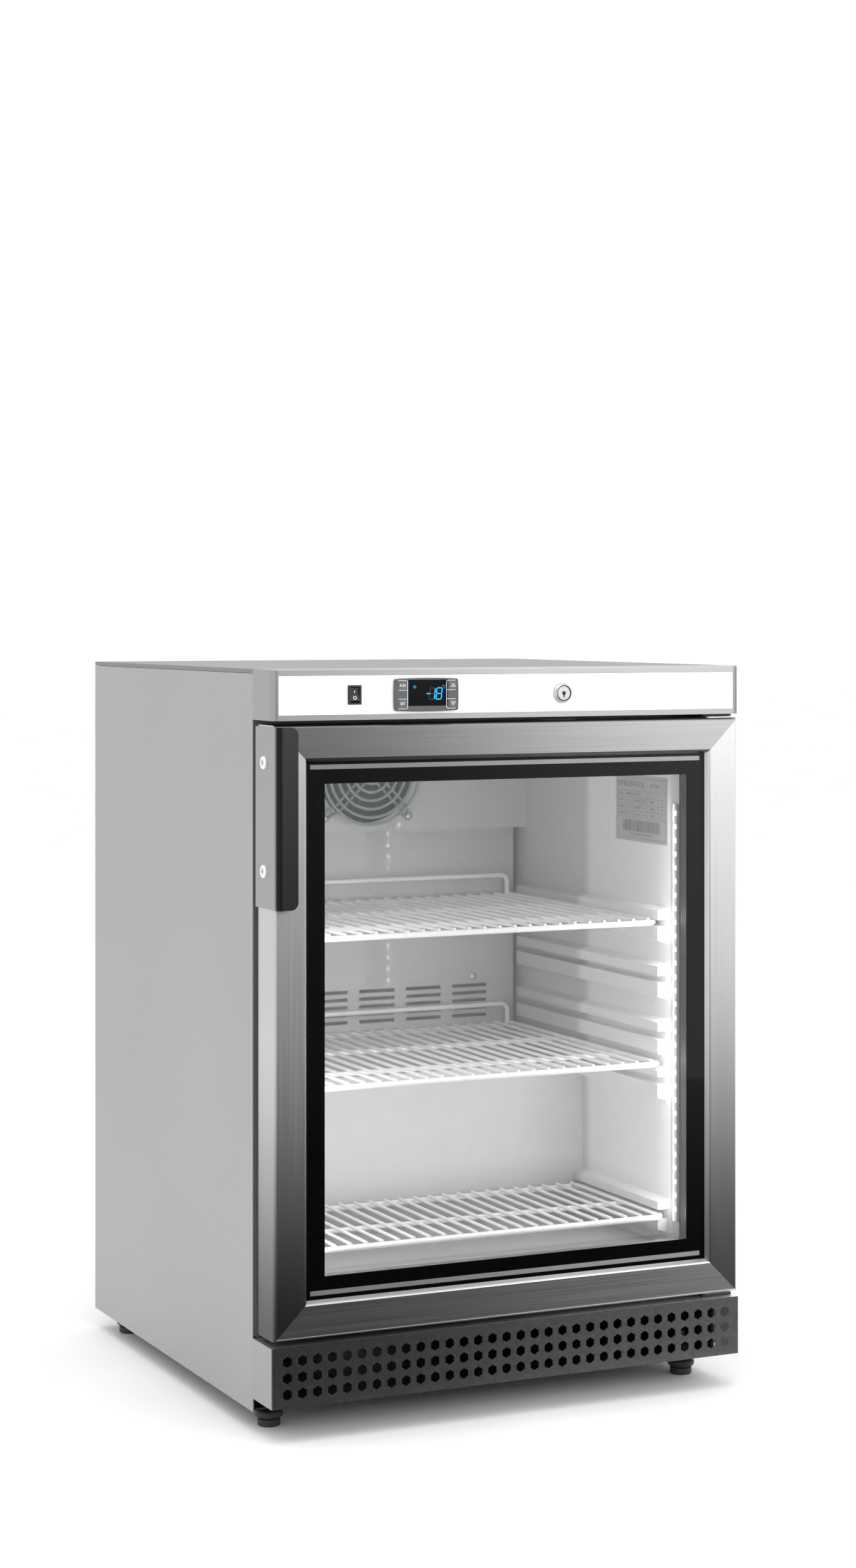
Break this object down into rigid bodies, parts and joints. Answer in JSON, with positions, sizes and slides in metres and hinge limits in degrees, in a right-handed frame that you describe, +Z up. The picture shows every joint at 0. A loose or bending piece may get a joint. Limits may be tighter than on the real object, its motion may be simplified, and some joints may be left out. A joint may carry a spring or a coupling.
{
  "type": "undercounter refrigerator",
  "caption": "Undercounter refrigerator with a glazed hinged door, wire shelves, fan-cooled lit compartment, control fascia with lock, grille plinth and levelling feet.",
  "frame": {"origin": "centre of the base on the floor, under the middle of the overall box", "axes": "+Z up, +X to the viewer's right facing the door, the door faces -Y"},
  "size_m": [0.602, 0.6202, 0.859],
  "materials": {
    "casing_steel": "silver-grey coated steel sheet",
    "frame_steel": "brushed stainless steel",
    "plated_steel": "bright zinc plating",
    "dark_steel": "dark coated steel",
    "zinc_sheet": "galvanised steel",
    "white_plastic": "smooth white plastic",
    "insert_white": "printed white front",
    "grey_plastic": "satin grey plastic",
    "black_plastic": "satin black plastic",
    "button_grey": "satin grey keys",
    "foam": "rigid foam",
    "glass": "clear",
    "tinted_window": "dark display window",
    "black_print": "black enamel print",
    "aluminium": "mill finish",
    "rubber_grey": "soft grey vinyl",
    "wire_white": "white plastic-coated wire",
    "led_white": "frosted light cover",
    "fan_green": "green fan blades",
    "fan_black": "black fan frame",
    "compressor_black": "black enamel",
    "copper": "bare copper"
  },
  "bodies": {
    "cabinet": {"side_panel_left": "casing_steel", "side_panel_right": "casing_steel", "top_panel": "casing_steel", "back_panel": "zinc_sheet", "base_frame": "zinc_sheet", "rear_grille": "dark_steel", "inner_liner": "white_plastic", "front_collar": "casing_steel", "foam_insulation": "foam", "fascia_bezel": "frame_steel", "fascia_insert": "insert_white", "plinth_grille": "frame_steel", "hinge_brackets": "dark_steel", "lock_barrel": "plated_steel", "switch_housing": "black_plastic", "controller_case": "grey_plastic", "controller_window": "tinted_window", "duct_panel": "white_plastic", "evaporator_cover": "white_plastic", "fan_guard": "wire_white", "panel_screws": "plated_steel", "fan_housing": "fan_black", "evaporator_coil": "aluminium", "led_bars": "led_white", "compressor": "compressor_black", "condenser_coil": "aluminium", "condenser_fan_frame": "fan_black", "refrigerant_pipes": "copper", "cable_gland": "black_plastic"},
    "door": {"door_rail_bottom": "frame_steel", "door_rail_top": "frame_steel", "door_stile_left": "frame_steel", "door_stile_right": "frame_steel", "door_core": "foam", "door_inner_frame": "grey_plastic", "glass_outer": "glass", "glass_inner": "glass", "glass_border": "black_print", "glass_spacer": "aluminium", "door_gasket": "rubber_grey", "handle": "frame_steel", "handle_screws": "plated_steel", "handle_screw_cups": "white_plastic", "hinge_bushes": "plated_steel"},
    "lock": {"lock_cylinder": "plated_steel", "lock_cam": "plated_steel"},
    "rocker_body": {"rocker": "black_plastic"},
    "key_aux": {"button_aux": "button_grey"},
    "key_set": {"button_set": "button_grey"},
    "key_up": {"button_up": "button_grey"},
    "key_down": {"button_down": "button_grey"},
    "evaporator_fan": {"fan_rotor": "fan_green"},
    "condenser_fan": {"condenser_fan_rotor": "fan_green"},
    "top_shelf": {"shelf_top": "wire_white"},
    "middle_shelf": {"shelf_middle": "wire_white"},
    "bottom_shelf": {"shelf_bottom": "wire_white"},
    "foot_a": {"foot_front_left": "plated_steel"},
    "foot_b": {"foot_front_right": "plated_steel"},
    "foot_c": {"foot_rear_left": "plated_steel"},
    "foot_d": {"foot_rear_right": "plated_steel"}
  },
  "joints": [
    {"name": "door_hinge", "type": "hinge", "parent": "cabinet", "child": "door", "pos_m": [0.286, -0.274, 0.4555], "axis": [0, 0, 1], "range_deg": [0, 110]},
    {"name": "lock_turn", "type": "hinge", "parent": "cabinet", "child": "lock", "pos_m": [0.0623, -0.288, 0.829], "axis": [0, 1, 0], "range_deg": [0, 90]},
    {"name": "rocker_tilt", "type": "hinge", "parent": "cabinet", "child": "rocker_body", "pos_m": [-0.2001, -0.295, 0.8299], "axis": [1, 0, 0], "range_deg": [0, 16]},
    {"name": "foot_front_left_height", "type": "slide", "parent": "cabinet", "child": "foot_a", "axis": [0, 0, -1], "range_m": [0, 0.012]},
    {"name": "foot_front_right_height", "type": "slide", "parent": "cabinet", "child": "foot_b", "axis": [0, 0, -1], "range_m": [0, 0.012]},
    {"name": "foot_rear_left_height", "type": "slide", "parent": "cabinet", "child": "foot_c", "axis": [0, 0, -1], "range_m": [0, 0.012]},
    {"name": "foot_rear_right_height", "type": "slide", "parent": "cabinet", "child": "foot_d", "axis": [0, 0, -1], "range_m": [0, 0.012]},
    {"name": "key_aux_press", "type": "slide", "parent": "cabinet", "child": "key_aux", "axis": [0, 1, 0], "range_m": [0, 0.0008], "stiffness_N_per_m": 900, "springref_m": -0.0006},
    {"name": "key_set_press", "type": "slide", "parent": "cabinet", "child": "key_set", "axis": [0, 1, 0], "range_m": [0, 0.0008], "stiffness_N_per_m": 900, "springref_m": -0.0006},
    {"name": "key_up_press", "type": "slide", "parent": "cabinet", "child": "key_up", "axis": [0, 1, 0], "range_m": [0, 0.0008], "stiffness_N_per_m": 900, "springref_m": -0.0006},
    {"name": "key_down_press", "type": "slide", "parent": "cabinet", "child": "key_down", "axis": [0, 1, 0], "range_m": [0, 0.0008], "stiffness_N_per_m": 900, "springref_m": -0.0006},
    {"name": "evaporator_fan_spin", "type": "hinge", "parent": "cabinet", "child": "evaporator_fan", "pos_m": [0.0169, 0.182, 0.7171], "axis": [0, 1, 0], "continuous": true},
    {"name": "condenser_fan_spin", "type": "hinge", "parent": "cabinet", "child": "condenser_fan", "pos_m": [-0.18, 0.138, 0.134], "axis": [0, 1, 0], "continuous": true},
    {"name": "top_shelf_slide", "type": "slide", "parent": "cabinet", "child": "top_shelf", "axis": [0, -1, 0], "range_m": [0, 0.028]},
    {"name": "middle_shelf_slide", "type": "slide", "parent": "cabinet", "child": "middle_shelf", "axis": [0, -1, 0], "range_m": [0, 0.028]},
    {"name": "bottom_shelf_slide", "type": "slide", "parent": "cabinet", "child": "bottom_shelf", "axis": [0, -1, 0], "range_m": [0, 0.022]}
  ]
}
